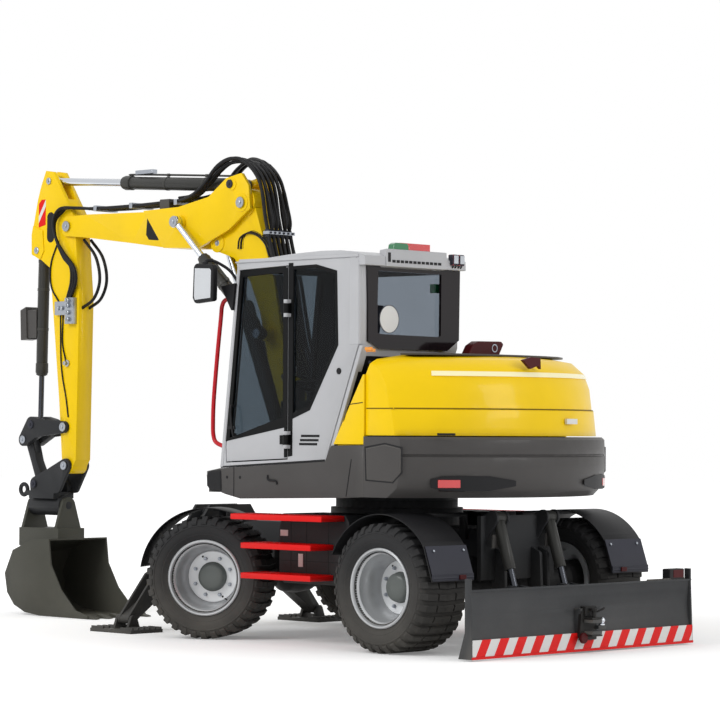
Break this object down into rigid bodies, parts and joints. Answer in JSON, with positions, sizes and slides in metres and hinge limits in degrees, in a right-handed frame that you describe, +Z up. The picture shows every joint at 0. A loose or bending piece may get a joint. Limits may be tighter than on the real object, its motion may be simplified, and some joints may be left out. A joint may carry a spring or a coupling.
{
  "type": "wheeled excavator",
  "caption": "Wheeled excavator with a swinging cab, a two-piece boom, an arm with a tilting bucket, a rear blade and front outriggers.",
  "frame": {"origin": "on the ground under the swing axis, where mount ground_stance is", "axes": "+X forward towards the boom, +Y left on the cab side, +Z up"},
  "size_m": [6.724, 2.8686, 3.932],
  "materials": {
    "yellow_paint": "semi-gloss",
    "cab_paint": "semi-gloss",
    "weight_paint": "satin",
    "frame_paint": "satin",
    "blade_paint": "satin",
    "bucket_paint": "satin",
    "red_paint": "semi-gloss",
    "cylinder_paint": "satin",
    "chrome": "polished",
    "rim_silver": "satin",
    "cast_iron": "matt",
    "tyre": "matt",
    "black_plastic": "matt",
    "lamp_plastic": "gloss",
    "seat_cloth": "matt",
    "glass": "tinted"
  },
  "bodies": {
    "chassis": {"chassis_frame": "frame_paint", "rear_axle": "frame_paint", "front_axle": "frame_paint", "rear_fenders": "black_plastic", "step_boxes": "frame_paint", "steps": "red_paint"},
    "upper": {"upper_frame": "frame_paint", "counterweight": "weight_paint", "engine": "cast_iron", "side_panels": "yellow_paint", "skirts": "weight_paint", "cab_shell": "cab_paint", "cab_roof": "cab_paint", "cab_glass": "glass", "seat": "seat_cloth", "lamps": "lamp_plastic", "handrail": "red_paint", "mirror_left": "black_plastic"},
    "hood": {"hood": "yellow_paint"},
    "door": {"cab_door": "cab_paint", "door_glass": "glass"},
    "wheel_rear_left": {"tyre_rear_left": "tyre", "rim_rear_left": "rim_silver"},
    "wheel_rear_right": {"tyre_rear_right": "tyre", "rim_rear_right": "rim_silver"},
    "knuckle_left": {"knuckle_left": "frame_paint", "front_fender_left": "black_plastic"},
    "knuckle_right": {"knuckle_right": "frame_paint", "front_fender_right": "black_plastic"},
    "wheel_front_left": {"tyre_front_left": "tyre", "rim_front_left": "rim_silver"},
    "wheel_front_right": {"tyre_front_right": "tyre", "rim_front_right": "rim_silver"},
    "blade": {"blade": "blade_paint"},
    "blade_barrels": {"blade_barrels": "cylinder_paint"},
    "blade_rods": {"blade_rods": "chrome"},
    "outrigger_left": {"outrigger_left": "frame_paint"},
    "pad_left": {"outrigger_pad_left": "frame_paint"},
    "outrigger_barrel_left": {"outrigger_barrel_left": "cylinder_paint"},
    "outrigger_rod_left": {"outrigger_rod_left": "chrome"},
    "outrigger_right": {"outrigger_right": "frame_paint"},
    "pad_right": {"outrigger_pad_right": "frame_paint"},
    "outrigger_barrel_right": {"outrigger_barrel_right": "cylinder_paint"},
    "outrigger_rod_right": {"outrigger_rod_right": "chrome"},
    "boom_lower": {"boom_lower": "yellow_paint", "boom_hoses": "black_plastic"},
    "boom_upper": {"boom_upper": "yellow_paint"},
    "arm": {"arm": "yellow_paint"},
    "rocker": {"rocker": "frame_paint"},
    "link": {"link": "frame_paint"},
    "coupler": {"coupler": "frame_paint"},
    "bucket": {"bucket": "bucket_paint"},
    "lift_barrel": {"lift_barrel": "cylinder_paint"},
    "lift_rod": {"lift_rod": "chrome"},
    "adjust_barrels": {"adjust_barrels": "cylinder_paint"},
    "adjust_rods": {"adjust_rods": "chrome"},
    "arm_barrel": {"arm_barrel": "cylinder_paint"},
    "arm_rod": {"arm_rod": "chrome"},
    "bucket_barrel": {"bucket_barrel": "cylinder_paint"},
    "bucket_rod": {"bucket_rod": "chrome"}
  },
  "joints": [
    {"name": "swing", "type": "hinge", "parent": "chassis", "child": "upper", "pos_m": [0, 0, 0], "axis": [0, 0, 1], "continuous": true},
    {"name": "hood_hinge", "type": "hinge", "parent": "upper", "child": "hood", "pos_m": [-0.815, 0, 2.11], "axis": [0, 1, 0], "range_deg": [0, 50]},
    {"name": "door_hinge", "type": "hinge", "parent": "upper", "child": "door", "pos_m": [0.04, 1.19, 0], "axis": [0, 0, 1], "range_deg": [0, 150]},
    {"name": "roll_rear_left", "type": "hinge", "parent": "chassis", "child": "wheel_rear_left", "pos_m": [-1, 1.023, 0.479], "axis": [0, 1, 0], "continuous": true},
    {"name": "roll_rear_right", "type": "hinge", "parent": "chassis", "child": "wheel_rear_right", "pos_m": [-1, -1.023, 0.479], "axis": [0, 1, 0], "continuous": true},
    {"name": "steer_left", "type": "hinge", "parent": "chassis", "child": "knuckle_left", "pos_m": [1.14, 0.843, 0], "axis": [0, 0, 1], "range_deg": [-65, 5]},
    {"name": "roll_front_left", "type": "hinge", "parent": "knuckle_left", "child": "wheel_front_left", "pos_m": [1.05, 0.99889, 0.479], "axis": [-0.5, 0.866, 0], "continuous": true},
    {"name": "steer_right", "type": "hinge", "parent": "chassis", "child": "knuckle_right", "pos_m": [1.14, -0.843, 0], "axis": [0, 0, 1], "range_deg": [-65, 5]},
    {"name": "roll_front_right", "type": "hinge", "parent": "knuckle_right", "child": "wheel_front_right", "pos_m": [1.23, -0.99889, 0.479], "axis": [-0.5, 0.866, 0], "continuous": true},
    {"name": "blade_lift", "type": "hinge", "parent": "chassis", "child": "blade", "pos_m": [-1.3, 0, 0.42], "axis": [0, 1, 0], "range_deg": [-8, 30]},
    {"name": "blade_barrel_tilt", "type": "hinge", "parent": "chassis", "child": "blade_barrels", "pos_m": [-1.315, 0, 0.985], "axis": [0, -1, 0], "range_deg": [-0.16, 0.045]},
    {"name": "blade_rod_slide", "type": "slide", "parent": "blade_barrels", "child": "blade_rods", "axis": [-0.3057, 0, -0.9521], "range_m": [-0.099, 0.027]},
    {"name": "outrigger_left", "type": "hinge", "parent": "chassis", "child": "outrigger_left", "pos_m": [2, 0.38, 0.62], "axis": [1, 0, 0], "range_deg": [0, 65]},
    {"name": "outrigger_pad_left", "type": "hinge", "parent": "outrigger_left", "child": "pad_left", "pos_m": [2, 1.06, 0.1], "axis": [1, 0, 0], "range_deg": [-32.5, 0]},
    {"name": "outrigger_barrel_left", "type": "hinge", "parent": "chassis", "child": "outrigger_barrel_left", "pos_m": [2, 0.15, 0.95], "axis": [1, 0, 0], "range_deg": [0, 34.77]},
    {"name": "outrigger_rod_left", "type": "slide", "parent": "outrigger_barrel_left", "child": "outrigger_rod_left", "axis": [0, 0.7652, -0.6438], "range_m": [-0.222, 0.001]},
    {"name": "outrigger_right", "type": "hinge", "parent": "chassis", "child": "outrigger_right", "pos_m": [2, -0.38, 0.62], "axis": [-1, 0, 0], "range_deg": [0, 65]},
    {"name": "outrigger_pad_right", "type": "hinge", "parent": "outrigger_right", "child": "pad_right", "pos_m": [2, -1.06, 0.1], "axis": [-1, 0, 0], "range_deg": [-32.5, 0]},
    {"name": "outrigger_barrel_right", "type": "hinge", "parent": "chassis", "child": "outrigger_barrel_right", "pos_m": [2, -0.15, 0.95], "axis": [-1, 0, 0], "range_deg": [0, 34.77]},
    {"name": "outrigger_rod_right", "type": "slide", "parent": "outrigger_barrel_right", "child": "outrigger_rod_right", "axis": [0, -0.7652, -0.6438], "range_m": [-0.222, 0.001]},
    {"name": "boom_lift", "type": "hinge", "parent": "upper", "child": "boom_lower", "pos_m": [0.8, 0, 1.5], "axis": [0, -1, 0], "range_deg": [-50, 12]},
    {"name": "lift_barrel_tilt", "type": "hinge", "parent": "upper", "child": "lift_barrel", "pos_m": [1.12, 0, 1.18], "axis": [0, -1, 0], "range_deg": [-49.36, 11.85]},
    {"name": "lift_rod_slide", "type": "slide", "parent": "lift_barrel", "child": "lift_rod", "axis": [0.3876, 0, 0.9218], "range_m": [-0.379, 0.092]},
    {"name": "boom_adjust", "type": "hinge", "parent": "boom_lower", "child": "boom_upper", "pos_m": [1.63, 0, 3.51], "axis": [0, -1, 0], "range_deg": [-25, 35]},
    {"name": "adjust_barrel_tilt", "type": "hinge", "parent": "boom_lower", "child": "adjust_barrels", "pos_m": [1.33, 0, 2.42], "axis": [0, -1, 0], "range_deg": [-8.26, 11.56]},
    {"name": "adjust_rod_slide", "type": "slide", "parent": "adjust_barrels", "child": "adjust_rods", "axis": [0.7315, 0, 0.6818], "range_m": [-0.246, 0.344]},
    {"name": "arm_swing", "type": "hinge", "parent": "boom_upper", "child": "arm", "pos_m": [3.9, 0, 3.42], "axis": [0, 1, 0], "range_deg": [-78, 16]},
    {"name": "arm_barrel_tilt", "type": "hinge", "parent": "boom_upper", "child": "arm_barrel", "pos_m": [1.764, 0, 3.671], "axis": [0, -1, 0], "range_deg": [-0.53, 2.59]},
    {"name": "arm_rod_slide", "type": "slide", "parent": "arm_barrel", "child": "arm_rod", "axis": [0.9976, 0, 0.0686], "range_m": [-0.625, 0.129]},
    {"name": "bucket_curl", "type": "hinge", "parent": "arm", "child": "coupler", "pos_m": [3.912, 0, 1.314], "axis": [0, 1, 0], "range_deg": [-70, 80]},
    {"name": "rocker_turn", "type": "hinge", "parent": "arm", "child": "rocker", "pos_m": [3.938, 0, 1.653], "axis": [0, 1, 0], "range_deg": [-55.14, 63.02]},
    {"name": "link_turn", "type": "hinge", "parent": "coupler", "child": "link", "pos_m": [4.325, 0, 1.148], "axis": [0, -1, 0], "range_deg": [-53.55, 61.19]},
    {"name": "bucket_barrel_tilt", "type": "hinge", "parent": "arm", "child": "bucket_barrel", "pos_m": [4.344, 0, 3.226], "axis": [0, -1, 0], "range_deg": [-0.68, 0.6]},
    {"name": "bucket_rod_slide", "type": "slide", "parent": "bucket_barrel", "child": "bucket_rod", "axis": [0.0264, 0, -0.9997], "range_m": [-0.363, 0.414]},
    {"name": "bucket_tilt", "type": "hinge", "parent": "coupler", "child": "bucket", "pos_m": [4.23, 0, 0.96], "axis": [1, 0, 0], "range_deg": [-50, 50]}
  ],
  "couplings": [
    {"joint": "steer_right", "follows": "steer_left", "ratio": 1},
    {"joint": "blade_barrel_tilt", "follows": "blade_lift", "ratio": -0.00525},
    {"joint": "blade_rod_slide", "follows": "blade_lift", "m_per_rad": -0.188},
    {"joint": "outrigger_pad_left", "follows": "outrigger_left", "ratio": -0.5},
    {"joint": "outrigger_barrel_left", "follows": "outrigger_left", "ratio": 0.5349},
    {"joint": "outrigger_rod_left", "follows": "outrigger_left", "m_per_rad": -0.19437},
    {"joint": "outrigger_pad_right", "follows": "outrigger_right", "ratio": -0.5},
    {"joint": "outrigger_barrel_right", "follows": "outrigger_right", "ratio": 0.5349},
    {"joint": "outrigger_rod_right", "follows": "outrigger_right", "m_per_rad": -0.19437},
    {"joint": "lift_barrel_tilt", "follows": "boom_lift", "ratio": 0.9871},
    {"joint": "lift_rod_slide", "follows": "boom_lift", "m_per_rad": 0.43304},
    {"joint": "adjust_barrel_tilt", "follows": "boom_adjust", "ratio": 0.33013},
    {"joint": "adjust_rod_slide", "follows": "boom_adjust", "m_per_rad": 0.5611},
    {"joint": "arm_barrel_tilt", "follows": "arm_swing", "ratio": -0.03317},
    {"joint": "arm_rod_slide", "follows": "arm_swing", "m_per_rad": 0.45869},
    {"joint": "rocker_turn", "follows": "bucket_curl", "ratio": 0.7877},
    {"joint": "link_turn", "follows": "bucket_curl", "ratio": 0.7649},
    {"joint": "bucket_barrel_tilt", "follows": "bucket_curl", "ratio": -0.0085},
    {"joint": "bucket_rod_slide", "follows": "bucket_curl", "m_per_rad": 0.2959}
  ]
}
